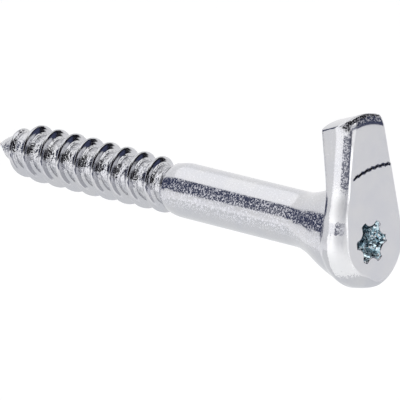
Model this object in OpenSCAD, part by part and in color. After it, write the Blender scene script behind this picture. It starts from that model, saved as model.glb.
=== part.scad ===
// Screw hook: a round shank with a coarse wood-screw thread and a gimlet point, a conical neck,
// and a forged plate head with a raised nose and a six-lobe drive recess. One solid piece of steel.
//
// Frame, in millimetres: the origin is on the screw's axis where the smooth shank meets the neck.
// +X runs along the screw from the point to the head, +Z runs up the nose, Y runs across the plate.

/* [Shank] */
// Diameter of the smooth shank.
shank_d = 6.0; // [5:0.1:7]
// Length of the smooth shank, from the neck to the shoulder.
shank_len = 18.2; // [8:0.1:40]
// Length of the rounded shoulder between the smooth shank and the thread.
shoulder_len = 2.7; // [1.5:0.1:4]

/* [Thread] */
// Diameter over the thread's crest on its even stretch, behind the point.
crest_d = 6.34; // [5.6:0.02:7]
// Diameter over the crest at the shoulder, where the rolled ridge is lower.
crest_head_d = 5.86; // [5.2:0.02:6.6]
// Diameter of the thread's core.
root_d = 4.3; // [3.6:0.1:5]
// Distance along the axis from one turn of the thread to the next.
pitch = 2.7; // [2.2:0.05:3.2]
// Length from the end of the shoulder to the point.
thread_len = 27.3; // [15:0.1:45]
// Length over which the crest tapers down to the point.
point_len = 6.0; // [4:0.1:9]
// Width of the flat on top of the ridge.
crest_w = 0.24; // [0.1:0.02:0.5]
// Width along the axis of the ridge's flank that faces the point.
point_flank_w = 0.58; // [0.2:0.02:0.7]
// Width along the axis of the ridge's steeper flank, which faces the head.
head_flank_w = 0.26; // [0.1:0.02:0.5]
// How far the core's surface dips between two turns.
root_dip = 0.12; // [0:0.02:0.2]
// Turn of the whole thread about the axis, in degrees.
thread_turn = 150; // [0:1:360]

/* [Neck] */
// Length of the conical neck, from the shank to the back of the plate.
neck_len = 5.4; // [3:0.1:9]
// Diameter of the neck where it meets the plate.
neck_d = 10.0; // [8.5:0.1:10]
// Length of the steeper first part of the neck.
knee_len = 2.0; // [1:0.1:2.5]
// Diameter of the neck where the steeper part ends.
knee_d = 7.9; // [7.2:0.1:8.4]

/* [Plate] */
// Diameter of the round boss of the plate.
boss_d = 10.25; // [10.1:0.05:12]
// How far the boss stands below the screw's axis, as forged.
boss_drop = 0.57; // [0:0.01:0.8]
// Thickness of the plate at the boss.
plate_t = 2.75; // [2.4:0.05:4]
// Radius of the rounded edge around the front face.
front_round = 1.0; // [0.4:0.05:1.1]
// Radius of the rounded edge around the back face.
back_round = 0.45; // [0.2:0.05:0.8]
// Backward lean of the front face towards the nose's end, in degrees.
face_lean = 4.2; // [0:0.2:8]

/* [Nose] */
// Height of the nose's end above the screw's axis, at its middle.
nose_h = 13.05; // [9:0.05:18]
// Width of the nose at its end.
nose_w = 5.7; // [4:0.1:8]
// How much lower the two corners of the nose's end are than its middle.
nose_arch = 0.55; // [0.4:0.05:1.2]
// How much lower the back edge of the nose's end is than its front edge.
nose_fall = 1.3; // [0.4:0.1:1.6]
// Height of the bevel between the front face and the nose's end.
curl_h = 0.7; // [0.3:0.05:1]
// How far that bevel stands back from the front face at the nose's end.
curl_t = 0.25; // [0.1:0.05:0.4]
// Height above the axis at which the back of the nose starts to lean over the seat.
bend_h = 4.0; // [3:0.1:6]
// How far the nose's end overhangs the seat, behind the back of the plate.
overhang = 2.2; // [0.5:0.1:3]

/* [Press mark] */
// Diameter of the round edge of the pressed area on the front face.
press_d = 26.0; // [22:0.1:30]
// How far the centre of that edge lies below the boss's centre.
press_low = 5.2; // [3:0.1:8]
// How far the centre of that edge lies to the side of the boss's centre.
press_side = 1.9; // [-3:0.1:3]
// Depth of the step at the edge of the pressed area.
press_step = 0.08; // [0.05:0.01:0.2]
// Width of the bevel that forms the step.
press_bevel = 0.2; // [0.1:0.05:0.6]

/* [Drive] */
// Distance across two opposite lobes of the recess.
drive_d = 4.5; // [3.9:0.1:5.5]
// Distance across two opposite flutes between the lobes.
drive_flute_d = 3.27; // [2.8:0.01:4]
// Radius of each flute between the lobes.
flute_r = 0.93; // [0.7:0.01:1.1]
// Depth of the recess, from the face to the end of its straight walls.
drive_depth = 2.4; // [1.5:0.1:4]
// Depth of the conical floor of the recess.
drive_floor = 0.8; // [0.3:0.1:1.4]

/* [Hidden] */
steel = [0.78, 0.79, 0.82];
lap = 0.5;
thin = 0.02;
round_fn = 96;
blend_fn = 32;

shank_r = shank_d / 2;
boss_r = boss_d / 2;
face_x = neck_len + plate_t;
end_x = neck_len - overhang;
end_slope = atan(nose_fall / (face_x - end_x));
core_r = root_d / 2;
shoulder_steps = 10;
shoulder_sink = 0.25;
rim_steps = 6;
floor_edge = 0.12;

// The thread is one ridge wound about the axis. Each step along it holds five points across the ridge.
steps = 40;
across = 5;
point_x = -(shank_len + shoulder_len + thread_len);
point_gap = 0.12;
point_lead = pitch / 2 + point_gap;
grow_turns = 2;
fade_turns = 0.9;
ridge_first_x = point_x + point_lead;
ridge_last_x = -shank_len + lap;
rows = floor((ridge_last_x - ridge_first_x) / pitch * steps);
core_end_x = ridge_last_x + pitch;
point_core_len = 5.2;
crest_even_x = point_x + thread_len / 2;

function rise(t) = sin(90 * min(1, max(0, t)));
function mix(a, b, t) = a + (b - a) * min(1, max(0, t));

// Radius of the core and of the crest at a place along the axis.
function core_at(x) = core_r * rise((x - point_x) / point_core_len);
function even_crest(x) = mix(crest_d, crest_head_d, (x - crest_even_x) / (-shank_len - crest_even_x)) / 2;
function crest_at(x) = even_crest(x) * rise((x - point_x) / point_len);

// How much of the ridge's height stands at a row: it grows from the point and fades into the shoulder.
function ridge_part(j) = rise(j / (steps * grow_turns)) * rise((rows - steps / 2 - j) / (steps * fade_turns));
function offsets() = [-pitch / 2, -crest_w / 2 - point_flank_w, -crest_w / 2, crest_w / 2,
    crest_w / 2 + head_flank_w];
function heights() = [0, 0, 1, 1, 0];
function dips() = [root_dip, 0, 0, 0, 0];
function row_x(j) = ridge_first_x + pitch * j / steps;
function row_angle(j) = thread_turn + 360 * j / steps;
function thread_r(j, k, x) = core_at(x) * (1 - dips()[k] / core_r)
    + heights()[k] * ridge_part(j) * max(0, crest_at(x) - core_at(x));
function thread_point(j, k) = let(x = row_x(j) + offsets()[k], r = thread_r(j, k, x), a = row_angle(j))
    [x, r * cos(a), r * sin(a)];

// Index of a point. The last column of a row is the first column one turn further on.
function at(j, k) = k == across ? at(j + steps, 0)
    : j <= rows ? j * across + k
    : (rows + 1) * across + j - rows - 1;
thread_points = concat(
    [for (j = [0:rows]) for (k = [0:across - 1]) thread_point(j, k)],
    [for (j = [rows + 1:rows + steps]) thread_point(j, 0)],
    [[point_x, 0, 0], [core_end_x, 0, 0]]);
point_at = len(thread_points) - 2;
core_end_at = len(thread_points) - 1;
thread_faces = concat(
    [for (j = [0:rows - 1]) for (k = [0:across - 1]) [at(j, k), at(j, k + 1), at(j + 1, k + 1)]],
    [for (j = [0:rows - 1]) for (k = [0:across - 1]) [at(j, k), at(j + 1, k + 1), at(j + 1, k)]],
    [for (j = [0:steps - 1]) [at(j, 0), at(j + 1, 0), point_at]],
    [for (k = [0:across - 1]) [at(0, k + 1), at(0, k), point_at]],
    [for (k = [0:across - 1]) [at(rows, k), at(rows, k + 1), core_end_at]],
    [for (j = [rows:rows + steps - 1]) [at(j + 1, 0), at(j, 0), core_end_at]]);

// Places on the plate. The front face is one plane through the boss that leans back towards the nose's end.
function front_x(z) = face_x - tan(face_lean) * (z + boss_drop);
taper = asin((boss_r - nose_w / 2) / (nose_h + boss_drop));
function half_w(z) = boss_r / cos(taper) - tan(taper) * (z + boss_drop);

module along_x(x, h, r1, r2) {
    translate([x, 0, 0])
        rotate([0, 90, 0])
            cylinder(h = h, r1 = r1, r2 = r2, $fn = round_fn);
}

module shank() {
    color(steel)
        along_x(-shank_len, shank_len + lap, shank_r, shank_r);
}

// Shoulder: a quarter of an ellipse in section, from the shank down to just inside the thread's core.
module shoulder() {
    inner_r = core_r - shoulder_sink;
    color(steel)
        translate([-shank_len, 0, 0])
            rotate([0, -90, 0])
                rotate_extrude($fn = round_fn)
                    polygon(concat(
                        [[0, shoulder_len], [0, -lap], [inner_r, -lap], [inner_r, 0]],
                        [for (i = [0:shoulder_steps])
                            let(a = 90 * i / shoulder_steps)
                                [inner_r + (shank_r - inner_r) * cos(a), shoulder_len * sin(a)]]));
}

module thread() {
    color(steel)
        polyhedron(points = thread_points, faces = thread_faces, convexity = 10);
}

// Neck: a steep cone, then a slower one that runs into the back of the plate.
module neck() {
    color(steel)
        rotate([0, 90, 0])
            rotate_extrude($fn = round_fn)
                polygon([[0, 0], [shank_r, 0], [knee_d / 2, knee_len], [neck_d / 2, neck_len],
                    [neck_d / 2, neck_len + lap], [0, neck_len + lap]]);
}

// A quarter circle of a rim's section, from one angle to the other.
function rim_arc(x, y, r, from) = [for (i = [0:rim_steps])
    let(a = from + 90 * i / rim_steps) [x + r * cos(a), y + r * sin(a)]];

// Back rim of the round boss, square across the screw's axis.
module back_rim() {
    translate([neck_len, 0, -boss_drop])
        rotate([0, 90, 0])
            rotate_extrude($fn = round_fn)
                polygon(concat([[0, back_round], [0, 0]],
                    rim_arc(boss_r - back_round, back_round, back_round, -90)));
}

// Front rim of the round boss, leaning with the front face.
module front_rim() {
    from_face()
        rotate_extrude($fn = round_fn)
            polygon(concat([[0, 0], [0, -front_round]],
                rim_arc(boss_r - front_round, -front_round, front_round, 0)));
}

// Thin section across the nose at the height where its back starts to lean over the seat.
module bend_section() {
    w = half_w(bend_h);
    for (s = [-1, 1]) {
        translate([front_x(bend_h) - front_round, s * (w - front_round), bend_h])
            cylinder(h = thin, r = front_round, $fn = blend_fn);
        translate([neck_len + back_round, s * (w - back_round), bend_h])
            cylinder(h = thin, r = back_round, $fn = blend_fn);
    }
}

// Upper end of the nose's four upright edges, above the arched cut that ends it.
module nose_end() {
    for (s = [-1, 1]) {
        translate([front_x(nose_h) - front_round, s * (nose_w / 2 - front_round), nose_h])
            cylinder(h = thin, r = front_round, $fn = blend_fn);
        translate([end_x + back_round, s * (nose_w / 2 - back_round), nose_h])
            cylinder(h = thin, r = back_round, $fn = blend_fn);
    }
}

// What the nose's end leaves out: all above an arch across the nose that falls to the back,
// with a bevel along its front edge.
module end_cut() {
    half = nose_w / 2;
    arch_r = (half * half + nose_arch * nose_arch) / (2 * nose_arch);
    translate([front_x(nose_h), 0, nose_h])
        rotate([0, -end_slope, 0])
            translate([0, 0, -arch_r])
                difference() {
                    translate([-boss_d, -boss_d, 0])
                        cube([2 * boss_d, 2 * boss_d, 2 * arch_r]);
                    along_x(-boss_d - lap, boss_d + lap - curl_t, arch_r, arch_r);
                    along_x(-curl_t, 2 * curl_t, arch_r, arch_r - 2 * curl_h);
                }
}

// What the press leaves out: the face beyond the round press mark stands back by the step.
module press_cut() {
    reach = nose_h + boss_d;
    from_face()
        difference() {
            translate([-reach, -boss_d, -press_step])
                cube([reach, 2 * boss_d, press_step + lap]);
            translate([press_low, press_side, -press_step - thin])
                cylinder(h = press_step + lap, r1 = press_d / 2 + press_bevel,
                    r2 = press_d / 2 - press_bevel * lap / press_step, $fn = round_fn);
        }
}

// Places what it holds on the front face at the boss's centre, with +Z out of the face.
module from_face() {
    translate([face_x, 0, -boss_drop])
        rotate([0, 90 - face_lean, 0])
            children();
}

module plate() {
    color(steel)
        difference() {
            union() {
                hull() {
                    back_rim();
                    front_rim();
                    bend_section();
                }
                hull() {
                    bend_section();
                    nose_end();
                }
            }
            end_cut();
            press_cut();
        }
}

module drive_outline() {
    difference() {
        circle(d = drive_d, $fn = round_fn);
        for (i = [0:5])
            rotate(60 * i)
                translate([drive_flute_d / 2 + flute_r, 0])
                    circle(r = flute_r, $fn = round_fn);
    }
}

// Six-lobe recess with straight walls and a conical floor.
module drive_recess() {
    floor_x = face_x - drive_depth;
    translate([floor_x, 0, -boss_drop])
        rotate([0, 90, 0])
            linear_extrude(height = drive_depth + plate_t)
                drive_outline();
    translate([0, 0, -boss_drop])
        along_x(floor_x - drive_floor, drive_floor, 0, drive_flute_d / 2 - floor_edge);
}

module screw_hook() {
    color(steel)
        difference() {
            union() {
                shank();
                shoulder();
                thread();
                neck();
                plate();
            }
            drive_recess();
        }
}

screw_hook();
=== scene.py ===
"""Screw hook: the visible steel, its bright zinc finish and its studio, round the packed model's frame."""

import math

import bpy
import numpy as np
from mathutils import Matrix, Vector


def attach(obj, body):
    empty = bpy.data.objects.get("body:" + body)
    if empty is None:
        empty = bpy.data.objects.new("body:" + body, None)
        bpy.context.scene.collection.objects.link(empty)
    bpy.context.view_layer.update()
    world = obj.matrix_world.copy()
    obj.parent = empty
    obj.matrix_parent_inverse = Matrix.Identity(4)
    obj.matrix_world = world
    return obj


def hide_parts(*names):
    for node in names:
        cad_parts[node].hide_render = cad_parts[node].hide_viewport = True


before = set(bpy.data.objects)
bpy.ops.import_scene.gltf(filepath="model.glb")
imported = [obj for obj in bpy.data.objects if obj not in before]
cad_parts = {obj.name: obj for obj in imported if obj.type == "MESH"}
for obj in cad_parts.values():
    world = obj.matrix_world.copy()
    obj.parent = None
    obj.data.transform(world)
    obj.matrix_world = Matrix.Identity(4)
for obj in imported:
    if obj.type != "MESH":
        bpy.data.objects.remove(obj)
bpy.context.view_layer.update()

bl_info = {
    "name": "Screw hook",
    "version": (1, 0, 0),
    "blender": (4, 5, 0),
    "location": "View3D > Sidebar > Screw hook",
    "description": "Makes the visible screw hook, its zinc finish and its studio",
    "category": "Add Mesh",
}

NODE = "screw_hook"
BODY = "root"
MM = 0.001


def length(name, text, default, **more):
    """A size in metres, given in millimetres."""
    return bpy.props.FloatProperty(
        name=name, description=text, default=default * MM, unit="LENGTH", precision=5, **more
    )


def angle(name, text, degrees):
    """An angle, given in degrees."""
    return bpy.props.FloatProperty(
        name=name, description=text, default=math.radians(degrees), subtype="ANGLE", unit="ROTATION"
    )


def share(name, text, default, top=1.0):
    """A plain number from 0 to top."""
    return bpy.props.FloatProperty(
        name=name, description=text, default=default, min=0.0, max=top, precision=4
    )


def colour(name, text, default):
    """A colour in linear light."""
    return bpy.props.FloatVectorProperty(
        name=name, description=text, default=default, subtype="COLOR", size=3, min=0.0, max=1.0
    )


class ShankSizes(bpy.types.PropertyGroup):
    """Sizes of the smooth shank, its shoulder and its neck."""

    radius: length("Radius", "Radius of the smooth shank", 3.0)
    reach: length("Length", "Length of the smooth shank", 18.2)
    shoulder: length("Shoulder", "Length of the shoulder beside the thread", 2.7)
    shoulder_end: length("Shoulder end", "Radius at which the shoulder goes into the core", 1.9)
    neck: length("Neck length", "Length of the flared neck", 5.4)
    neck_radius: length("Neck radius", "Radius of the neck where it meets the plate", 4.85)
    knee: length("Knee", "Length of the steeper first part of the neck", 2.0)
    knee_radius: length("Knee radius", "Radius of the neck where the steeper part ends", 4.15)
    blend: length("Blend", "How widely the neck's bends are eased", 0.9)
    lap: length("Lap", "How far the neck runs on round the plate", 1.15)
    root_blend: length("Root blend", "How widely the neck runs into the plate", 0.4)


class ThreadSizes(bpy.types.PropertyGroup):
    """Sizes of the rolled thread."""

    crest: length("Crest radius", "Radius over the thread's crest behind the point", 3.17)
    crest_head: length("Crest radius at the shoulder", "Radius over the crest beside the shoulder", 2.93)
    core: length("Core radius", "Radius of the thread's core", 2.15)
    pitch: length("Pitch", "Distance along the axis from one turn to the next", 2.7)
    reach: length("Length", "Length from the end of the shoulder to the point", 27.3)
    crest_taper: length("Crest taper", "Length over which the crest comes down to the point", 6.0)
    core_taper: length("Core taper", "Length over which the core comes down to the point", 5.2)
    crest_width: length("Crest width", "Width of the top of the ridge", 0.24)
    point_flank: length("Point flank", "Width of the flank that faces the point", 0.58)
    head_flank: length("Head flank", "Width of the flank that faces the head", 0.26)
    dip: length("Root dip", "How far the core dips between two turns", 0.12)
    waver: length("Waver", "How unevenly the rolled ridge runs", 0.03)
    turn: angle("Turn", "Turn of the whole thread about the axis", 134.0)
    grow: share("Grow", "Turns over which the ridge grows from the point", 2.0, 4.0)
    fade: share("Fade", "Turns over which the ridge fades into the shoulder", 0.9, 3.0)
    steps: bpy.props.IntProperty(
        name="Steps", description="Rows of faces in one turn", default=96, min=24, max=160
    )
    columns: bpy.props.IntProperty(
        name="Columns", description="Faces across one turn of the ridge", default=34, min=12, max=60
    )
    seed: bpy.props.IntProperty(name="Seed", description="Which waver the ridge gets", default=7)


class HeadSizes(bpy.types.PropertyGroup):
    """Sizes of the forged plate head and its drive recess."""

    boss_radius: length("Boss radius", "Radius of the round boss", 5.125)
    boss_drop: length("Boss drop", "How far the boss stands below the screw's axis", 0.57)
    thickness: length("Thickness", "Thickness of the plate at the boss", 2.75)
    front_round: length("Front rounding", "Width of the rounded edge on the front face", 1.1)
    boss_round: length("Boss rounding", "Width of that edge low on the boss", 1.8)
    front_depth: length("Rounding depth", "How far that edge reaches back from the face", 1.6)
    right_round: length("Right rounding", "Radius of the same edge on the plate's right side", 0.7)
    crease: length("Crease", "How far the front face cuts off its rounded edge", 0.03)
    back_round: length("Back rounding", "Radius of the edge round the back of the nose", 0.45)
    back_low: length("Low back rounding", "Radius of that edge round the back of the boss", 1.3)
    flank_step: length("Flank step", "How much narrower the nose's left flank is than its taper", 0.22)
    flank_low: length("Flank step foot", "Height at which that step starts", 2.2)
    flank_high: length("Flank step head", "Height at which that step ends", 5.0)
    top_round: length("Top rounding", "Radius of the nose's upper corners", 0.1)
    curl_height: length("Curl height", "Height of the face's curl under the nose's end", 1.4)
    curl_depth: length("Curl depth", "How far that curl stands back at the end", 0.34)
    lean: angle("Lean", "Backward lean of the front face", 4.2)
    nose_height: length("Nose height", "Height of the nose's end above the axis", 13.05)
    nose_width: length("Nose width", "Width of the nose at its end", 5.7)
    nose_arch: length("Nose arch", "How much lower the end's corners are than its middle", 0.6)
    nose_fall: length("Nose fall", "How much lower the end's back edge is than its front", 1.35)
    bend_height: length("Bend height", "Height at which the back starts to lean", 4.0)
    bend_ease: length("Bend ease", "How widely that bend is eased", 0.8)
    overhang: length("Overhang", "How far the nose overhangs the seat", 2.1)
    low_grain: share("Low grain", "Strength of the grain below the axis", 0.05)
    # The bead beside the left crease carries a painted highlight.
    bead_half: length("Bead half width", "Half the width of the bead beside the left crease", 0.17)
    bead_wedge: length("Bead wedge", "How much wider that bead is at the nose's end", 0.45)
    # The left edge carries a painted highlight up to this height, with a short gap.
    highlight_high: length("Highlighted height", "Height up to which the left edge is highlighted", 6.3)
    highlight_gap: length("Highlight gap", "Height of the short stretch that isn't highlighted", 1.5)
    highlight_half: length("Highlight gap half", "Half the height of that stretch", 0.75)
    press_radius: length("Press radius", "Radius of the arc that ends the pressed area", 12.98)
    press_side: length("Press side", "How far that arc's centre lies to the side", 1.91)
    press_low: length("Press low", "How far that arc's centre lies below the boss's", 5.23)
    press_step: length("Press step", "Depth of the step at the pressed area's edge", 0.08)
    press_bevel: length("Press bevel", "Half the width of the bevel that forms the step", 0.1)
    press_rag: length("Press raggedness", "How unevenly that step runs", 0.055)
    press_start: length("Press start", "How far left of the middle the step starts", 2.3)
    lobe_radius: length("Lobe radius", "Radius over the lobes of the recess", 2.25)
    flute_radius: length("Flute radius", "Radius at which the flutes stand between the lobes", 1.635)
    flute_round: length("Flute rounding", "Radius of each flute", 0.93)
    recess_depth: length("Recess depth", "Depth of the recess's straight walls", 2.4)
    recess_floor: length("Recess floor", "Depth of the recess's conical floor", 0.45)
    edge: length("Edge", "Rounding of the recess's edges", 0.06)
    cell: length("Cell", "Size of the faces that the head is made of", 0.1)
    long_cell: length("Long cell", "Length of the faces along the smooth shank", 0.4)


class FinishLook(bpy.types.PropertyGroup):
    """Colours and grain of the bright zinc plating, and its painted highlights and shade."""

    zinc: colour("Zinc", "Colour of the plating", (0.62, 0.62, 0.64))
    zinc_cool: colour("Cool zinc", "Colour of the plating's cooler patches", (0.59, 0.595, 0.63))
    passivated: colour("Passivated", "Blue tint of the plating inside the recess", (0.72, 0.92, 1.0))
    frosted: colour("Frosted", "Colour of the plating's dull specks", (0.85, 0.85, 0.9))
    recess_deep: colour("Recess shade", "Tint of the darker facets inside the recess", (0.06, 0.11, 0.15))
    # The press mark's step is painted near black as its shadow.
    pressed: colour("Pressed", "Colour of the soil in the press mark's step", (0.02, 0.02, 0.024))
    # Colour of the painted highlights: on the left edge, on the bead and on the recess's glints.
    highlight_white: colour("Highlights", "Colour of the highlighted edge of the face", (0.95, 0.95, 0.96))
    smooth: share("Smooth patches", "Roughness of the plating's smooth patches", 0.1)
    dull: share("Dull patches", "Roughness of the plating's dull specks", 0.5)
    speck: share("Speck scale", "How fine the specks are", 5200.0, 20000.0)
    cloud: share("Cloud scale", "How fine the slow changes of the plating are", 420.0, 20000.0)
    rolled: share("Rolled scale", "How fine the thread's rolling marks are", 1900.0, 20000.0)
    rolled_depth: length("Rolled depth", "Depth of the thread's rolling marks", 0.15)
    facets: share("Facet scale", "How fine the facets inside the recess are", 4300.0, 20000.0)
    facet_turn: share("Facet turn", "How much those facets turn from the wall", 0.9, 3.0)
    film: share("Film", "How far the film inside the recess hides the metal", 0.3)
    relief: length("Relief", "Depth of the plating's fine grain", 0.003)


class StudioLook(bpy.types.PropertyGroup):
    """Camera, floor, cards and light."""

    camera_turn: angle("Camera turn", "Turn of the camera about the vertical", 44.0275)
    camera_rise: angle("Camera rise", "Height of the camera above the horizon", 15.0735)
    camera_distance: length("Camera distance", "Distance of the camera from what it aims at", 453.35)
    camera_lens: share("Camera lens", "Focal length in millimetres", 387.96, 1000.0)
    camera_sensor: share("Camera sensor", "Width of the sensor in millimetres", 36.0, 100.0)
    camera_aim: bpy.props.FloatVectorProperty(
        name="Camera aim",
        description="The point in the middle of the picture",
        default=(-8.6032 * MM, -8.4234 * MM, 2.4246 * MM),
        subtype="XYZ",
        unit="LENGTH",
        size=3,
    )
    floor_drop: length("Floor drop", "How far the floor lies below the axis", 260.0)
    floor_size: length("Floor size", "Side of the square floor", 16000.0)
    floor_white: colour("Floor", "Colour of the floor", (0.82, 0.82, 0.83))
    floor_glow: share("Floor glow", "Light that the floor shows by itself to camera and metal", 0.31)
    far_card: length("Far card", "Distance of the dark cards at the back and above", 1500.0)
    left_card: length("Left card", "Distance of the dark card on the left", 200.0)
    near_card: length("Near card", "Distance of the dark cards near the hook", 500.0)
    low_card: length("Low card", "Side of the pale square card on the floor", 1100.0)
    card_pale: colour("Pale card", "Colour of that card", (0.88, 0.89, 0.9))
    card_dark: colour("Blue card", "Colour of the cards on the left and for the curl", (0.06, 0.07, 0.13))
    card_soft: colour("Soft card", "Colour of the card on the right of the front", (0.16, 0.17, 0.23))
    card_black: colour("Black card", "Colour of the other dark cards", (0.012, 0.012, 0.016))
    sky: share("Room light", "Light of the room on dull surfaces", 0.7, 2.0)
    side_lamp_turn: angle("Side lamp turn", "Turn of the front lamp to the right", -1.0)
    side_lamp_distance: length("Side lamp distance", "Distance of the front lamp", 1200.0)
    side_lamp_rise: share("Side lamp rise", "Height of the front lamp as a share of its distance", 0.3)
    side_lamp_size: length("Side lamp size", "Width of the front lamp", 1900.0)
    side_lamp_power: share("Side lamp power", "Power of the front lamp in watts", 4.4, 100.0)
    lamp_height: length("Lamp height", "Height of the soft lamp above the hook", 1500.0)
    lamp_size: length("Lamp size", "Side of the soft lamp", 3400.0)
    lamp_power: share("Lamp power", "Power of the soft lamp in watts", 10.2, 100.0)


GROUPS = {
    "hook_shank": ShankSizes,
    "hook_thread": ThreadSizes,
    "hook_head": HeadSizes,
    "hook_finish": FinishLook,
    "hook_studio": StudioLook,
}


# Node trees. A Wire is one socket, and arithmetic on it adds Math nodes to its tree.


class Wire:
    """One output socket of a node tree, on which Python's arithmetic makes Math nodes."""

    def __init__(self, board, socket):
        self.board, self.socket = board, socket

    def _math(self, operation, *values):
        return self.board.add("ShaderNodeMath", {"operation": operation}, dict(enumerate(values)))

    def __add__(self, other):
        return self._math("ADD", self, other)

    __radd__ = __add__

    def __sub__(self, other):
        return self._math("SUBTRACT", self, other)

    def __rsub__(self, other):
        return self._math("SUBTRACT", other, self)

    def __mul__(self, other):
        return self._math("MULTIPLY", self, other)

    __rmul__ = __mul__

    def __truediv__(self, other):
        return self._math("DIVIDE", self, other)

    def __neg__(self):
        return self._math("MULTIPLY", self, -1.0)

    def __lt__(self, other):
        return self._math("LESS_THAN", self, other)

    def __gt__(self, other):
        return self._math("GREATER_THAN", self, other)

    def at_most(self, other):
        return self._math("MINIMUM", self, other)

    def at_least(self, other):
        return self._math("MAXIMUM", self, other)

    def kept(self):
        return self.at_most(1.0).at_least(0.0)

    def sin(self):
        return self._math("SINE", self)

    def cos(self):
        return self._math("COSINE", self)

    def root(self):
        return self._math("SQRT", self)


class Board:
    """Adds nodes to one tree."""

    def __init__(self, tree):
        self.tree = tree

    def add(self, kind, settings=None, sockets=None, out=0):
        """Adds a node. Its settings come first, then its sockets get their values or links."""
        node = self.tree.nodes.new(kind)
        for name, value in (settings or {}).items():
            setattr(node, name, value)
        for name, value in (sockets or {}).items():
            socket = node.inputs[name]
            if isinstance(value, Wire):
                self.tree.links.new(value.socket, socket)
            elif hasattr(value, "__len__"):
                socket.default_value = (*value, 1.0)[:len(socket.default_value)]
            else:
                socket.default_value = value
        return Wire(self, node.outputs[out]) if len(node.outputs) else node

    def step(self, value, low, high):
        """0 below low, 1 above high, eased between them."""
        return self.add(
            "ShaderNodeMapRange",
            {"interpolation_type": "SMOOTHSTEP"},
            {"Value": value, "From Min": low, "From Max": high},
        )

    def split(self, vector):
        """The three parts of a vector."""
        node = self.add("ShaderNodeSeparateXYZ", None, {"Vector": vector}).socket.node
        return tuple(Wire(self, socket) for socket in node.outputs)

    def vector(self, operation, first, second=None):
        """Vector Math on one vector, on two, or on a vector and the number that scales it."""
        sockets = {0: first}
        if second is not None:
            sockets["Scale" if operation == "SCALE" else 1] = second
        return self.add("ShaderNodeVectorMath", {"operation": operation}, sockets)

    def mark(self, name):
        """A number that the piece's mesh holds at each of its points."""
        return self.add("ShaderNodeAttribute", {"attribute_name": name}, out=2)

    def noise(self, place, scale, detail, rough=0.55):
        """Even noise through the metal, from 0 to 1."""
        return self.add(
            "ShaderNodeTexNoise",
            {"noise_dimensions": "3D"},
            {"Vector": place, "Scale": scale, "Detail": detail, "Roughness": rough},
        )

    def mixed(self, factor, first, second):
        """The first colour where the factor is 0, the second where it is 1."""
        return self.add(
            "ShaderNodeMix", {"data_type": "RGBA"}, {"Factor": factor, 6: first, 7: second}, out=2
        )

    def seen(self):
        """1 in what camera, metal and glass show, 0 in the light on dull surfaces."""
        path = self.add("ShaderNodeLightPath").socket.node
        camera, metal, glass = (
            Wire(self, path.outputs[f"Is {ray} Ray"]) for ray in ("Camera", "Glossy", "Transmission")
        )
        return (camera + metal + glass).kept()


def blank(kind, name):
    """A new material or world with an empty tree, and the board that fills it."""
    owner = kind.new(name)
    owner.use_nodes = True
    owner.node_tree.nodes.clear()
    return owner, Board(owner.node_tree)


# Finish

# Where each pattern of the plating starts and where it is full, from 0 to 1.
SPECKS = (0.5, 0.6)
CLOUDS = (0.3, 0.7)
EDGE_HIGHLIGHTS = (0.2, 0.8)
SHADES = (0.1, 0.18)
FILMS = (0.3, 0.36)
GLINTS = (0.78, 0.84)

# What the specks gain where the grain is stronger than 1, and how much duller the clouds are.
SPECK_GAIN = 0.05
CLOUD_DULL = 0.03
# The least strength of the bead's painted highlight, and how far its metal turns to the left.
BEAD_LEAST = 0.35
BEAD_TURN = 2.0
# How ragged the painted highlight on the left edge is, how far it takes the highlight colour, and its share
# of the specks' dullness.
HIGHLIGHT_RAG = 2.0
HIGHLIGHT_TONE = 0.9
EDGE_DULL = 0.8
# Taken from a facet's random turn, so that the facets lean outward and a little down.
FACET_MIDDLE = (-0.3, 0.5, 0.65)
# How fast the painted shade in the recess's upper left corner grows with depth, and how many of its facets it
# turns dark.
CORNER_DEEP = 1.4
CORNER_SHADE = 0.8
# Depths below the pressed face between which the recess's finish starts.
RECESS_START = (0.03 * MM, 0.1 * MM)
# Heights above the thread's core between which its rolling marks end.
ROLLED_END = (0.1 * MM, 0.3 * MM)


def recess_finish(b, place, x, y, low_z):
    """Inside the drive recess: where it is, its colour with painted shade in its deep upper left corner and
    painted glints, its facets' turn and its film.
    """
    scene = bpy.context.scene
    look, head = scene.hook_finish, scene.hook_head
    face_x = scene.hook_shank.neck + head.thickness
    floor_x = face_x - head.recess_depth
    away = (y * y + low_z * low_z).root()
    depth = face_x - x - low_z * math.tan(head.lean)
    inside = 1.0 - b.step(away, head.lobe_radius, head.lobe_radius + head.edge * 2)
    inside = inside * b.step(x, floor_x - head.recess_floor, floor_x)
    inside = inside * b.step(depth, *(head.press_step + start for start in RECESS_START))
    facet = b.add(
        "ShaderNodeTexVoronoi", {"feature": "F1"}, {"Vector": place, "Scale": look.facets}, out=1
    )
    turned = b.vector("SCALE", b.vector("SUBTRACT", facet, FACET_MIDDLE), inside * look.facet_turn)
    shade, clear, glint = b.split(facet)
    # Painted shade: more facets turn dark toward the upper left corner, deeper down; painted glints: a few
    # facets take the highlight colour.
    corner = b.step(low_z - y + depth * CORNER_DEEP, head.flute_radius * 0.5, head.lobe_radius)
    clean = b.mixed(b.step(glint, *GLINTS), look.passivated, look.highlight_white)
    tone = b.mixed(b.step(shade - corner * CORNER_SHADE, *SHADES), look.recess_deep, clean)
    return inside, tone, turned, inside * b.step(clear, *FILMS) * look.film


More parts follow.
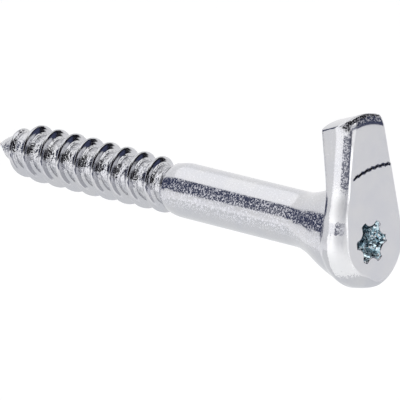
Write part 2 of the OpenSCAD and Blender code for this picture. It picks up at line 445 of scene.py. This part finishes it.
def zinc_finish():
    """Bright zinc plating: clear bluish metal with dull specks and slow clouds, blue inside the recess, with
    painted highlights on the left edge, painted shadow in the press mark's step and painted shade deep in the
    recess.
    """
    found = bpy.data.materials.get("bright_zinc")
    if found:
        return found
    scene = bpy.context.scene
    look, shank, core = scene.hook_finish, scene.hook_shank, scene.hook_thread.core
    material, b = blank(bpy.data.materials, "bright_zinc")
    place = b.add("ShaderNodeTexCoord", out=3)
    x, y, z = b.split(place)
    # The mesh's masks: grain, and where highlights and the press mark's shadow are painted.
    grain, bead, rub, line = (b.mark(name) for name in ("grain", "bead", "rub", "line"))
    fine = b.noise(place, look.speck, 3.0, 0.6)
    cloud = b.step(b.noise(place, look.cloud, 3.0), *CLOUDS)
    speck = (b.step(fine + (grain - 1.0).at_least(0.0) * SPECK_GAIN, *SPECKS) * grain).kept()
    # Painted highlight: the bead along the left crease takes the highlight colour, and its normal turns to
    # the left.
    bead = bead * (BEAD_LEAST + cloud * (1 - BEAD_LEAST))
    # Painted highlight: a ragged strip of the left edge is made brighter and duller.
    rub = b.step(rub + (fine - 0.5) * HIGHLIGHT_RAG, *EDGE_HIGHLIGHTS)
    recess, blue, turned, filmed = recess_finish(b, place, x, y, z + scene.hook_head.boss_drop)
    tone = b.mixed(speck, b.mixed(cloud, look.zinc, look.zinc_cool), look.frosted)
    tone = b.mixed(recess, tone, blue)
    # Painted highlights on the left edge and on the bead.
    tone = b.mixed(rub * HIGHLIGHT_TONE, tone, look.highlight_white)
    tone = b.mixed(bead, tone, look.highlight_white)
    # Painted shadow: the press mark's step takes the near-black colour.
    tone = b.mixed(line, tone, look.pressed)
    rough = look.smooth + speck * (look.dull - look.smooth) + cloud * CLOUD_DULL
    rough = rough + (look.smooth - rough) * recess
    rough = rough + (look.dull * EDGE_DULL - rough) * rub
    threaded = 1.0 - b.step(x, -shank.reach - shank.shoulder, -shank.reach - shank.shoulder * 0.5)
    low = 1.0 - b.step((y * y + z * z).root(), *(core + end for end in ROLLED_END))
    rolled = b.noise(place, look.rolled, 2.0) * threaded * low
    bump = b.add(
        "ShaderNodeBump", None, {"Strength": 1.0, "Distance": look.rolled_depth, "Height": rolled}
    )
    bump = b.add(
        "ShaderNodeBump",
        None,
        {"Strength": 1.0, "Distance": look.relief, "Height": (fine - 0.5) * grain, "Normal": bump},
    )
    beaded = b.vector("SCALE", (0.0, -1.0, 0.0), bead * BEAD_TURN)
    normal = b.vector("NORMALIZE", b.vector("ADD", b.vector("ADD", bump, turned), beaded))
    metal = b.add(
        "ShaderNodeBsdfPrincipled",
        None,
        {"Base Color": tone, "Metallic": 1.0 - filmed, "Roughness": rough, "Normal": normal},
    )
    b.add("ShaderNodeOutputMaterial", None, {"Surface": metal})
    return material


def plain_surface(name, tone, glow):
    """A dull surface that shows its glow to the camera, to metal and to glass, and keeps its shadows."""
    material, b = blank(bpy.data.materials, name)
    surface = b.add(
        "ShaderNodeBsdfPrincipled",
        None,
        {"Base Color": tone, "Roughness": 0.9, "Emission Color": (1.0, 1.0, 1.0),
         "Emission Strength": b.seen() * glow},
    )
    b.add("ShaderNodeOutputMaterial", None, {"Surface": surface})
    return material


# Meshes


def placed(name, data):
    """An object that shows the data, in the scene."""
    thing = bpy.data.objects.new(name, data)
    bpy.context.scene.collection.objects.link(thing)
    return thing


def piece_from(name, points, faces):
    """A smooth-shaded mesh object at the origin, in the finish of the hook."""
    mesh = bpy.data.meshes.new(name)
    mesh.vertices.add(len(points))
    mesh.vertices.foreach_set("co", np.asarray(points, np.float32).ravel())
    count, corners = faces.shape
    mesh.loops.add(count * corners)
    mesh.loops.foreach_set("vertex_index", np.asarray(faces, np.int32).ravel())
    mesh.polygons.add(count)
    mesh.polygons.foreach_set("loop_start", np.arange(0, count * corners, corners, dtype=np.int32))
    mesh.polygons.foreach_set("use_smooth", np.ones(count, bool))
    mesh.update(calc_edges=True)
    mesh.validate()
    mesh.materials.append(zinc_finish())
    return placed(name, mesh)


def take_place(piece):
    """The piece rides on the hook's body and stands for the packed node."""
    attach(piece, BODY)
    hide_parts(NODE)


def soft_low(a, b, width):
    """The lower of two fields, run into each other over a width."""
    near = np.maximum(width - np.abs(a - b), 0.0) / width
    return np.minimum(a, b) - near * near * width / 4


def edge_of(a, b, radius):
    """Where two fields meet, with their edge rounded to a radius."""
    over = np.hypot(np.maximum(a + radius, 0.0), np.maximum(b + radius, 0.0))
    return np.minimum(np.maximum(a, b), -radius) + over


def eased(value, low, high):
    """0 below low, 1 above high, eased between them."""
    t = np.clip((value - low) / (high - low), 0.0, 1.0)
    return t * t * (3 - 2 * t)


# How widely the press mark's left end runs out, and the lengths that its ragged edge swings over.
PRESS_EASE = 0.3 * MM
PRESS_WAVES = (0.05 * MM, 0.13 * MM)
# How far the neck stays inside the boss where it runs on round the plate.
NECK_INSET = 0.02 * MM
# The grain's strength on the neck's top and low on the neck, and what it gains on the curl.
TOP_GRAIN = 0.2
LOW_GRAIN = 0.4
CURL_GRAIN = 0.4
# Depths below the pressed face between which the grain ends.
GRAIN_END = (0.05 * MM, 0.02 * MM)
# Strength of the painted shadow in the middle of the press mark's step, which falls by 2 to the bevel's
# edges.
SHADOW_MIDDLE = 1.3


class HookShape:
    """The field whose zero is the steel's surface: negative inside, in metres from the surface near it."""

    def __init__(self, scene):
        self.shank, self.head = scene.hook_shank, scene.hook_head
        h = self.head
        self.face_x = self.shank.neck + h.thickness
        self.taper = math.asin((h.boss_radius - h.nose_width / 2) / (h.nose_height + h.boss_drop))
        self.point_end = -self.shank.reach - self.shank.shoulder

    def turned(self, x, y, z):
        """Shank, shoulder and neck."""
        s = self.shank
        first = (s.knee_radius - s.radius) / s.knee
        second = (s.neck_radius - s.knee_radius) / (s.neck - s.knee)
        flare = soft_low(s.radius + first * x, s.knee_radius + second * (x - s.knee), s.blend)
        outline = -soft_low(-s.radius, -flare, s.blend)
        outline = soft_low(outline, self.head.boss_radius - NECK_INSET, s.root_blend)
        slope = np.where(x < 0, first * 0.5, first)
        along = np.clip((-s.reach - x) / s.shoulder, 0.0, 1.0)
        outline = np.where(
            x < -s.reach,
            s.shoulder_end + (s.radius - s.shoulder_end) * np.sqrt(1 - along * along),
            outline,
        )
        away = np.hypot(y, z + self.head.boss_drop * eased(x, s.knee / 2, s.neck + s.lap))
        field = (away - outline) / np.sqrt(1 + slope * slope)
        return np.maximum(np.maximum(field, self.point_end - x), x - s.neck - s.lap)

    def rim(self, y, up):
        """Width and depth of the rounded edge on the front face, which is wider on the left."""
        h = self.head
        wide = h.boss_round + (h.front_round - h.boss_round) * eased(
            up, -h.boss_drop, h.bend_height + h.boss_drop
        )
        right = eased(y, -h.boss_radius / 4, h.boss_radius / 4)
        return wide + (h.right_round - wide) * right, h.front_depth + (h.right_round - h.front_depth) * right

    def keyhole(self, y, z):
        """Distance outside the plate's outline: a round boss and a tapered nose."""
        h = self.head
        up, beside = z + h.boss_drop, np.abs(y)
        ct, st = math.cos(self.taper), math.sin(self.taper)
        nose = up * ct - beside * st > 0
        side = np.where(nose, beside * ct + up * st, np.hypot(beside, up)) - h.boss_radius
        return side + h.flank_step * eased(z, h.flank_low, h.flank_high) * (y < 0)

    def face_at(self, z):
        """Where the leaning front face stands at a height."""
        return self.face_x - math.tan(self.head.lean) * (z + self.head.boss_drop)

    def nose_end(self, y):
        """Height of the nose's arched end."""
        h = self.head
        return h.nose_height - h.nose_arch * (y / (h.nose_width / 2)) ** 2

    def press_edge(self, y, z):
        """Distance outside the arc that ends the pressed area, and how far that arc shows."""
        h = self.head
        up = z + h.boss_drop
        ring = np.hypot(y - h.press_side, up / math.cos(h.lean) + h.press_low) - h.press_radius
        return ring, (up > 0) * eased(y, -h.press_start - PRESS_EASE, -h.press_start + PRESS_EASE)

    def plate(self, x, y, z):
        """The keyhole-shaped plate, with its leaning face, press mark and overhanging nose."""
        s, h = self.shank, self.head
        face_at = self.face_at(z)
        front = (x - face_at) * math.cos(h.lean)
        ring, shown = self.press_edge(y, z)
        ring = ring + h.press_rag * sum(np.sin(y / wave) for wave in PRESS_WAVES)
        front = front + h.press_step * eased(ring, -h.press_bevel, h.press_bevel) * shown
        slant = h.overhang / (h.nose_height - h.nose_fall - h.bend_height)
        back_at = soft_low(s.neck + 0 * z, s.neck - slant * (z - h.bend_height), h.bend_ease)
        back = (back_at - x) / math.sqrt(1 + slant * slant * 0.5)
        fall = h.nose_fall / (face_at - s.neck + h.overhang)
        top = z - self.nose_end(y) + fall * (face_at - x)
        curl = np.maximum(top + h.curl_height, 0.0) / h.curl_height
        front = front + h.curl_depth * curl * curl
        wide, deep = self.rim(y, z + h.boss_drop)
        low = 1 - eased(z, -h.bend_height, 0.0)
        rim = edge_of(self.keyhole(y, z), back, h.back_round + (h.back_low - h.back_round) * low)
        rim = np.maximum(edge_of(rim, (front - h.crease) * wide / deep, wide), front)
        return edge_of(rim, top, h.top_round)

    def recess(self, x, y, z):
        """Six-lobe recess with straight walls and a conical floor."""
        h = self.head
        up = z + h.boss_drop
        away = np.hypot(y, up)
        lobes = away - h.lobe_radius
        for i in range(6):
            turn = math.radians(60 * i)
            reach = h.flute_radius + h.flute_round
            flute = np.hypot(y - reach * math.sin(turn), up - reach * math.cos(turn))
            lobes = edge_of(lobes, h.flute_round - flute, h.edge)
        floor_x = self.face_x - h.recess_depth
        straight = np.maximum(lobes, floor_x - x)
        floor_r = h.flute_radius - 2 * h.edge
        cone = (away - floor_r * (1 - (floor_x - x) / h.recess_floor)) * 0.5
        cone = np.maximum(cone, x - floor_x - h.cell)
        return np.minimum(straight, cone)

    def field(self, x, y, z):
        """Shank, neck and plate run into one, less the recess."""
        solid = soft_low(self.turned(x, y, z), self.plate(x, y, z), self.shank.root_blend)
        return edge_of(solid, -self.recess(x, y, z), self.head.edge)

    def grain_and_painted_light(self, points):
        """The left crease's bead and the edge beside it, which carry painted highlights, the grained parts,
        and the press mark's step, which carries painted shadow.
        """
        x, y, z = points.T
        front = (x - self.face_at(z)) * math.cos(self.head.lean)
        bead, rub = self.left_edge(y, z, front)
        return bead, rub, self.grain(x, y, z, front), self.press_shadow_mask(y, z, front)

    def left_edge(self, y, z, front):
        """The bead along the left crease, wider toward the nose's end, and the strip of edge outside it:
        where highlights are painted.
        """
        h = self.head
        up = z + h.boss_drop
        wide, deep = self.rim(y, up)
        cut = 1 - h.crease / deep
        out = self.keyhole(y, z) + wide * (1 - np.sqrt(1 - cut * cut))
        left = (y < 0) * eased(up, -h.boss_radius * 0.75, -h.boss_radius * 0.45)
        wedge = h.bead_wedge * eased(z, h.bend_height * 1.8, h.nose_height) * (out < 0)
        bead = np.clip((h.bead_half + wedge - np.abs(out)) / h.cell, 0.0, 1.0) * (front > -2 * h.cell)
        low = 1 - eased(z, h.highlight_high - h.highlight_half * 3, h.highlight_high + h.highlight_half)
        past_gap = eased(np.abs(z - h.highlight_gap), h.highlight_half * 0.3, h.highlight_half * 1.3)
        rub = eased(out, -h.cell, h.cell) * (front > -h.front_depth) * low * past_gap
        return bead * left, rub * left

    def grain(self, x, y, z, front):
        """The grain on the neck and the rounded edges, less on the neck's top and low on the boss."""
        s, h = self.shank, self.head
        up = z + h.boss_drop
        rise = up / np.hypot(y, up)
        neck = (z < h.bend_height) * (1 - eased(x, s.neck - h.back_round, s.neck))
        neck = neck * (1 - (1 - TOP_GRAIN) * eased(rise, 0.6, 0.8))
        neck = neck * (LOW_GRAIN + (1 - LOW_GRAIN) * eased(rise, -0.4, 0.0))
        deep = self.rim(y, up)[1]
        rounded = eased(front, -deep * 1.1, -deep * 0.7)
        flat = eased(front, *(-h.press_step - depth for depth in GRAIN_END))
        tip = 1 - eased(self.nose_end(y) - z, h.curl_height * 0.15, h.curl_height * 0.3)
        upper = h.low_grain + (1 - h.low_grain) * eased(up, -h.bead_wedge * 3, h.bead_half)
        curl = eased(z, h.nose_height - h.nose_fall - h.curl_height, h.nose_height - h.curl_height)
        return np.maximum(neck, rounded) * (1 - np.maximum(flat, tip)) * upper * (1 + curl * CURL_GRAIN)

    def press_shadow_mask(self, y, z, front):
        """The painted shadow in the press mark's step, full in its middle."""
        h = self.head
        ring, shown = self.press_edge(y, z)
        painted_shadow = np.clip(SHADOW_MIDDLE - 2 * np.abs(ring) / h.press_bevel, 0.0, 1.0)
        return shown * painted_shadow * (front > -2 * h.press_step)

    def slope(self, points, reach):
        """The field and its gradient at points."""
        x, y, z = points.T
        steps = [
            (self.field(x + dx, y + dy, z + dz) - self.field(x - dx, y - dy, z - dz)) / (2 * reach)
            for dx, dy, dz in np.eye(3) * reach
        ]
        return self.field(x, y, z), np.stack(steps, axis=1)


# Moves that bring a point onto the surface, and the least steepness, squared, that a move reckons with.
MOVES = 4
LEAST_STEEP = 0.25


def skin(shape, xs, ys, zs):
    """The field's zero surface as quads: one point in each cell that it crosses, then moved onto it."""
    grid = shape.field(*np.meshgrid(xs, ys, zs, indexing="ij"))
    inside = grid < 0
    sizes = np.array(grid.shape) - 1
    corners = [(i, j, k) for i in (0, 1) for j in (0, 1) for k in (0, 1)]

    def corner(of, c):
        return of[c[0]:c[0] + sizes[0], c[1]:c[1] + sizes[1], c[2]:c[2] + sizes[2]]

    count = sum(corner(inside, c).astype(np.int8) for c in corners)
    crossed = (count > 0) & (count < 8)
    number = np.full(crossed.shape, -1, np.int64)
    number[crossed] = np.arange(crossed.sum())
    where = np.stack(np.nonzero(crossed), axis=1)
    total, hits = np.zeros((len(where), 3)), np.zeros(len(where))
    for first in corners:
        for axis in range(3):
            if first[axis]:
                continue
            second = tuple(1 if n == axis else c for n, c in enumerate(first))
            a = corner(grid, first)[crossed]
            c = corner(grid, second)[crossed]
            cut = (a < 0) != (c < 0)
            part = np.where(cut, a / np.where(cut, a - c, 1.0), 0.0)
            for n, places in enumerate((xs, ys, zs)):
                low = places[where[:, n] + first[n]]
                high = places[where[:, n] + second[n]]
                total[:, n] += np.where(cut, low + (high - low) * part, 0.0)
            hits += cut
    points = total / hits[:, None]
    quads = []
    for axis in range(3):
        u, v = (axis + 1) % 3, (axis + 2) % 3
        low = np.take(inside, np.arange(0, inside.shape[axis] - 1), axis=axis)
        high = np.take(inside, np.arange(1, inside.shape[axis]), axis=axis)
        edges = np.stack(np.nonzero(low != high), axis=1)
        out = (low & ~high)[tuple(edges.T)]
        ring = []
        for du, dv in ((-1, -1), (0, -1), (0, 0), (-1, 0)):
            cell = edges.copy()
            cell[:, u] += du
            cell[:, v] += dv
            ring.append(number[tuple(cell.T)])
        ring = np.stack(ring, axis=1)
        quads.append(np.where(out[:, None], ring, ring[:, ::-1]))
    reach = shape.head.cell / 10
    furthest = 4 * reach
    for _ in range(MOVES):
        value, slope = shape.slope(points, reach)
        steep = np.maximum((slope * slope).sum(axis=1), LEAST_STEEP)
        move = np.clip(value / steep, -furthest, furthest)
        points = points - slope * move[:, None]
    return points, np.concatenate(quads)


def spaced(*stops):
    """Places from stop to stop, with about the given spacing in each stretch."""
    out = [np.array([stops[0]])]
    for start, spacing, end in zip(stops[0::2], stops[1::2], stops[2::2]):
        out.append(np.linspace(start, end, max(2, round((end - start) / spacing) + 1))[1:])
    return np.concatenate(out)


class HOOK_OT_body(bpy.types.Operator):
    """Makes the shank, neck and forged head as one piece"""

    bl_idname = "hook.body"
    bl_label = "Shank, neck and head"

    def execute(self, context):
        scene = context.scene
        shape = HookShape(scene)
        s, h = scene.hook_shank, scene.hook_head
        margin, past_face = 3 * h.cell, 10 * h.cell
        xs = spaced(
            shape.point_end - margin, h.cell * 1.2, -s.reach + margin,
            h.long_cell, -s.blend, h.cell, shape.face_x + past_face,
        )
        ys = spaced(-h.boss_radius - margin, h.cell, h.boss_radius + margin)
        zs = spaced(-h.boss_radius - h.boss_drop - margin, h.cell, h.nose_height + margin)
        points, quads = skin(shape, xs, ys, zs)
        piece = piece_from("hook_body", points, quads)
        # Grain, and the masks of the painted highlights and the painted shadow.
        for name, values in zip(("bead", "rub", "grain", "line"), shape.grain_and_painted_light(points)):
            mark = piece.data.attributes.new(name, "FLOAT", "POINT")
            mark.data.foreach_set("value", values.astype(np.float32))
        take_place(piece)
        return {"FINISHED"}


# The thread's waver: its waves in one turn, and how far apart in the noise two seeds lie.
WAVES = 2.3
SEED_STRIDE = 3.7
# The share of the ridge's flanks that is straight, and turns before it starts and after it ends.
STRAIGHT = 0.4
BEFORE_RIDGE = 1.0
AFTER_RIDGE = 0.6
# Points closer than this are one: at the seam between two turns and at the poles.
MERGE = 0.002 * MM


def wound_thread(sizes, shank):
    """The tree that winds a sheet of faces about the axis as the screw's core and ridge."""
    tree = bpy.data.node_groups.new("wound_thread", "GeometryNodeTree")
    tree.interface.new_socket("Mesh", in_out="OUTPUT", socket_type="NodeSocketGeometry")
    start = -(shank.reach + shank.shoulder + sizes.reach)
    end = -shank.reach - shank.shoulder / 4
    rows = math.ceil(((end - start) / sizes.pitch + 1) * sizes.steps)
    turns = rows / sizes.steps
    wanted = {
        "Crest radius": sizes.crest,
        "Crest radius at the shoulder": sizes.crest_head,
        "Core radius": sizes.core,
        "Pitch": sizes.pitch,
        "Point place": start,
        "End place": end,
        "Shoulder place": -shank.reach,
        "Crest taper": sizes.crest_taper,
        "Core taper": sizes.core_taper,
        "Crest width": sizes.crest_width,
        "Point flank": sizes.point_flank,
        "Head flank": sizes.head_flank,
        "Root dip": sizes.dip,
        "Waver": sizes.waver,
        "Turn": sizes.turn,
        "Turns": turns,
        "Grow turns": sizes.grow,
        "Fade turns": sizes.fade,
        "Rows": rows + 1,
        "Columns": sizes.columns + 1,
        "Seed": sizes.seed,
        "Finish": zinc_finish(),
    }
    kinds = {int: "NodeSocketInt", float: "NodeSocketFloat"}
    for name, value in wanted.items():
        tree.interface.new_socket(
            name, in_out="INPUT", socket_type=kinds.get(type(value), "NodeSocketMaterial")
        )
    b = Board(tree)
    given = b.add("NodeGroupInput").socket.node
    g = {name: Wire(b, given.outputs[name]) for name in wanted}

    def rise(value):
        """From 0 to 1, fast at first."""
        return (value.kept() * (math.pi / 2)).sin()

    sheet = b.add(
        "GeometryNodeMeshGrid",
        None,
        {"Size X": g["Turns"], "Size Y": 1.0, "Vertices X": g["Rows"], "Vertices Y": g["Columns"]},
    )
    flat_x, flat_y = b.split(b.add("GeometryNodeInputPosition"))[:2]
    turn = flat_x + g["Turns"] * 0.5
    lag = b.add(
        "ShaderNodeTexNoise",
        {"noise_dimensions": "2D"},
        {
            "Vector": b.add("ShaderNodeCombineXYZ", None, {"X": turn * WAVES, "Y": g["Seed"] * SEED_STRIDE}),
            "Scale": 1.0,
            "Detail": 2.0,
        },
    )
    first_x = g["Point place"] - g["Pitch"] * 0.5
    x = first_x + g["Pitch"] * (turn + flat_y)
    wind = g["Turn"] + turn * math.tau
    off = g["Pitch"] * flat_y + (lag - 0.5) * 2.0 * g["Waver"]
    half = g["Crest width"] * 0.5
    ramp = ((-half - off).at_least(0.0) / g["Point flank"]
            + (off - half).at_least(0.0) / g["Head flank"])
    ridge = (1.0 - ramp).kept()
    ridge = ridge * STRAIGHT + ridge * ridge * (3.0 - 2.0 * ridge) * (1 - STRAIGHT)
    from_point = x - g["Point place"]
    core = g["Core radius"] * rise(from_point / g["Core taper"])
    even_from = (g["Point place"] + g["Shoulder place"]) * 0.5
    toward = ((x - even_from) / (g["Shoulder place"] - even_from)).kept()
    crest = (g["Crest radius"] + (g["Crest radius at the shoulder"] - g["Crest radius"]) * toward) * rise(
        from_point / g["Crest taper"]
    )
    grown = rise((turn - BEFORE_RIDGE) / g["Grow turns"])
    part = grown * rise((g["Turns"] - AFTER_RIDGE - turn) / g["Fade turns"])
    dip = g["Root dip"] / g["Core radius"] * flat_y * flat_y * 4.0
    radius = core * (1.0 - dip) + ridge * part * (crest - core).at_least(0.0)
    radius = radius * (x > g["Point place"]) * (x < g["End place"])
    place = b.add(
        "ShaderNodeCombineXYZ",
        None,
        {
            "X": x.at_least(g["Point place"]).at_most(g["End place"]),
            "Y": radius * wind.cos(),
            "Z": radius * wind.sin(),
        },
    )
    wound = b.add("GeometryNodeSetPosition", None, {"Geometry": sheet, "Position": place})
    closed = b.add("GeometryNodeMergeByDistance", None, {"Geometry": wound, "Distance": MERGE})
    smooth = b.add("GeometryNodeSetShadeSmooth", None, {"Geometry": closed})
    real = b.add("GeometryNodeRealizeInstances", None, {"Geometry": smooth})
    done = b.add("GeometryNodeSetMaterial", None, {"Geometry": real, "Material": g["Finish"]})
    b.add("NodeGroupOutput", None, {"Mesh": done})
    return tree, wanted


def made_by(tree, values, name):
    """Runs a geometry tree and returns its result as a plain mesh object."""
    holder = placed(name + "_tree", bpy.data.meshes.new(name + "_tree"))
    modifier = holder.modifiers.new("tree", "NODES")
    modifier.node_group = tree
    for item in tree.interface.items_tree:
        if item.in_out == "INPUT" and item.name in values:
            modifier[item.identifier] = values[item.name]
    holder.update_tag()
    bpy.context.view_layer.update()
    graph = bpy.context.evaluated_depsgraph_get()
    mesh = bpy.data.meshes.new_from_object(holder.evaluated_get(graph), depsgraph=graph)
    mesh.name = name
    holder.modifiers.clear()
    bpy.data.objects.remove(holder)
    return placed(name, mesh)


class HOOK_OT_thread(bpy.types.Operator):
    """Winds the screw's core and rolled ridge about the axis"""

    bl_idname = "hook.thread"
    bl_label = "Thread"

    def execute(self, context):
        scene = context.scene
        tree, values = wound_thread(scene.hook_thread, scene.hook_shank)
        piece = made_by(tree, values, "hook_thread")
        if not len(piece.data.polygons):
            raise RuntimeError("the thread's tree made no faces")
        take_place(piece)
        return {"FINISHED"}


# Studio

# Turn from one upright edge of a card to the next, in degrees.
CARD_STEP = 0.5
# The dark cards' outlines, as seen from the hook: turn from the front, foot and top, in degrees.
LEFT_CARD = (
    (-110, -15, -11), (-99, -14, -8), (-90, -10, -6), (-87, -7, 16), (-80, -6, 22), (-70, -6, 30),
    (-67, -5, 34), (-66, 1, 36), (-60, 1, 39), (-57, 3, 40), (-50, 3, 40), (-47, 2, 36), (-45.5, 0, 30),
    (-44.5, 4, 28), (-43, 6, 22), (-41.5, 6, 16), (-40.4, 6, 12),
)
FRONT_CARD = ((9, 0, 9), (50, -1.5, 8.5), (62, -2.5, 8), (84, -5.5, 18))
FLANK_CARD = ((84, 1, 42), (122, 1, 42))
END_CARD = ((122, 3, 42), (141, 3, 42), (142, -3, 42), (163, -3, 42), (164, 25, 42))
CURL_CARD = ((132, -4, 19), (152, -4, 19))
THREAD_CARD = ((-22, 18, 76), (84, 18, 76))
CEILING_CARD = (
    (-180, 34, 76), (-160, 42, 76), (-150, 46, 76), (-135, 51, 76), (-120, 58, 76), (-100, 64, 76),
    (-60, 65, 76), (-30, 56, 76), (-22, 40, 76),
)


class HOOK_OT_studio(bpy.types.Operator):
    """Makes the camera, the floor, the cards and the lamps"""

    bl_idname = "hook.studio"
    bl_label = "Studio"

    def execute(self, context):
        scene = context.scene
        look = scene.hook_studio
        scene.view_settings.view_transform = "Standard"
        self.camera(scene, look)
        self.floor(look)
        self.cards(look)
        self.light(scene, look)
        return {"FINISHED"}

    def camera(self, scene, look):
        """The camera, turned and raised round the point that it aims at."""
        a, e = look.camera_turn, look.camera_rise
        back = Vector((math.sin(a) * math.cos(e), -math.cos(a) * math.cos(e), math.sin(e)))
        right = Vector((math.cos(a), math.sin(a), 0.0))
        up = back.cross(right)
        data = bpy.data.cameras.new("camera")
        data.sensor_width = look.camera_sensor
        data.lens = look.camera_lens
        data.clip_start, data.clip_end = 0.01, 100.0
        camera = placed("camera", data)
        turn = Matrix((right, up, back)).transposed().to_4x4()
        camera.matrix_world = Matrix.Translation(Vector(look.camera_aim) + back * look.camera_distance) @ turn
        scene.camera = camera

    def put(self, name, points, faces, material):
        """A piece of the stage."""
        mesh = bpy.data.meshes.new(name)
        mesh.from_pydata(points, [], faces)
        mesh.materials.append(material)
        thing = placed(name, mesh)
        return thing

    def floor(self, look):
        """The square white floor."""
        half, low = look.floor_size / 2, -look.floor_drop
        points = [(-half, -half, low), (half, -half, low), (half, half, low), (-half, half, low)]
        self.put("floor", points, [(0, 1, 2, 3)],
                 plain_surface("floor_white", look.floor_white, look.floor_glow))

    def cards(self, look):
        """A pale card under the hook and dark ones round it."""
        half = look.low_card / 2
        flat = [(x * half, y * half, -look.floor_drop + MM) for x, y in ((-1, -1), (1, -1), (1, 1), (-1, 1))]
        self.card("card_low", look.card_pale, flat, [(0, 1, 2, 3)])
        sets = (
            ("card_blue", look.card_dark, ((look.left_card, LEFT_CARD), (look.near_card, CURL_CARD))),
            ("card_soft", look.card_soft, ((look.near_card, FRONT_CARD),)),
            ("card_black", look.card_black, (
                (look.near_card, FLANK_CARD), (look.near_card, THREAD_CARD),
                (look.far_card, END_CARD), (look.far_card, CEILING_CARD))),
        )
        for name, tone, cards in sets:
            points, faces = [], []
            for r, edge in cards:
                first = len(points)
                turns = np.arange(edge[0][0], edge[-1][0] + CARD_STEP / 2, CARD_STEP)
                lows, tops = (np.interp(turns, [e[0] for e in edge], [e[n] for e in edge]) for n in (1, 2))
                for turn, *ends in zip(np.radians(turns), np.radians(lows), np.radians(tops)):
                    points += [(r * math.sin(turn), -r * math.cos(turn), r * math.tan(e)) for e in ends]
                faces += [tuple(first + 2 * i + n for n in (0, 1, 3, 2)) for i in range(len(turns) - 1)]
            self.card(name, tone, points, faces)

    def card(self, name, tone, points, faces):
        """A card of one plain colour, which the metal reflects and the camera doesn't see."""
        material, b = blank(bpy.data.materials, name)
        glow = b.add("ShaderNodeEmission", None, {"Color": tone, "Strength": 1.0})
        b.add("ShaderNodeOutputMaterial", None, {"Surface": glow})
        card = self.put(name, points, faces, material)
        card.visible_camera = card.visible_diffuse = card.visible_shadow = False

    def light(self, scene, look):
        """The white room, which lights dull surfaces less than it shows, and the two lamps."""
        world, b = blank(bpy.data.worlds, "room")
        scene.world = world
        strength = b.seen() * (1.0 - look.sky) + look.sky
        glow = b.add("ShaderNodeBackground", None, {"Color": (1.0, 1.0, 1.0), "Strength": strength})
        b.add("ShaderNodeOutputWorld", None, {"Surface": glow})
        self.lamp("soft_lamp", look.lamp_size, look.lamp_power, (0.0, 0.0, look.lamp_height))
        a, r = look.side_lamp_turn, look.side_lamp_distance
        place = (r * math.sin(a), -r * math.cos(a), r * look.side_lamp_rise)
        self.lamp("side_lamp", look.side_lamp_size, look.side_lamp_power, place)

    def lamp(self, name, size, power, place):
        """A square lamp that shines toward the origin."""
        data = bpy.data.lights.new(name, "AREA")
        data.shape, data.size, data.energy = "SQUARE", size, power
        lamp = placed(name, data)
        lamp.location = place
        lamp.rotation_euler = Vector(place).to_track_quat("Z", "Y").to_euler()


class HOOK_PT_panel(bpy.types.Panel):
    """Lists the hook's pieces and their sizes"""

    bl_idname = "HOOK_PT_panel"
    bl_label = "Screw hook"
    bl_space_type = "VIEW_3D"
    bl_region_type = "UI"
    bl_category = "Screw hook"

    def draw(self, context):
        for operator in OPERATORS:
            self.layout.operator(operator.bl_idname)
        for name, group in GROUPS.items():
            box = self.layout.box()
            box.label(text=group.__doc__)
            for key in group.__annotations__:
                box.prop(getattr(context.scene, name), key)


OPERATORS = (HOOK_OT_body, HOOK_OT_thread, HOOK_OT_studio)
CLASSES = (*GROUPS.values(), *OPERATORS, HOOK_PT_panel)


def register():
    for cls in CLASSES:
        bpy.utils.register_class(cls)
    for name, group in GROUPS.items():
        setattr(bpy.types.Scene, name, bpy.props.PointerProperty(type=group))


def unregister():
    for name in GROUPS:
        delattr(bpy.types.Scene, name)
    for cls in reversed(CLASSES):
        bpy.utils.unregister_class(cls)


def main():
    """Makes every piece and the studio."""
    register()
    bpy.ops.hook.body()
    bpy.ops.hook.thread()
    bpy.ops.hook.studio()


if __name__ == "__main__":
    main()
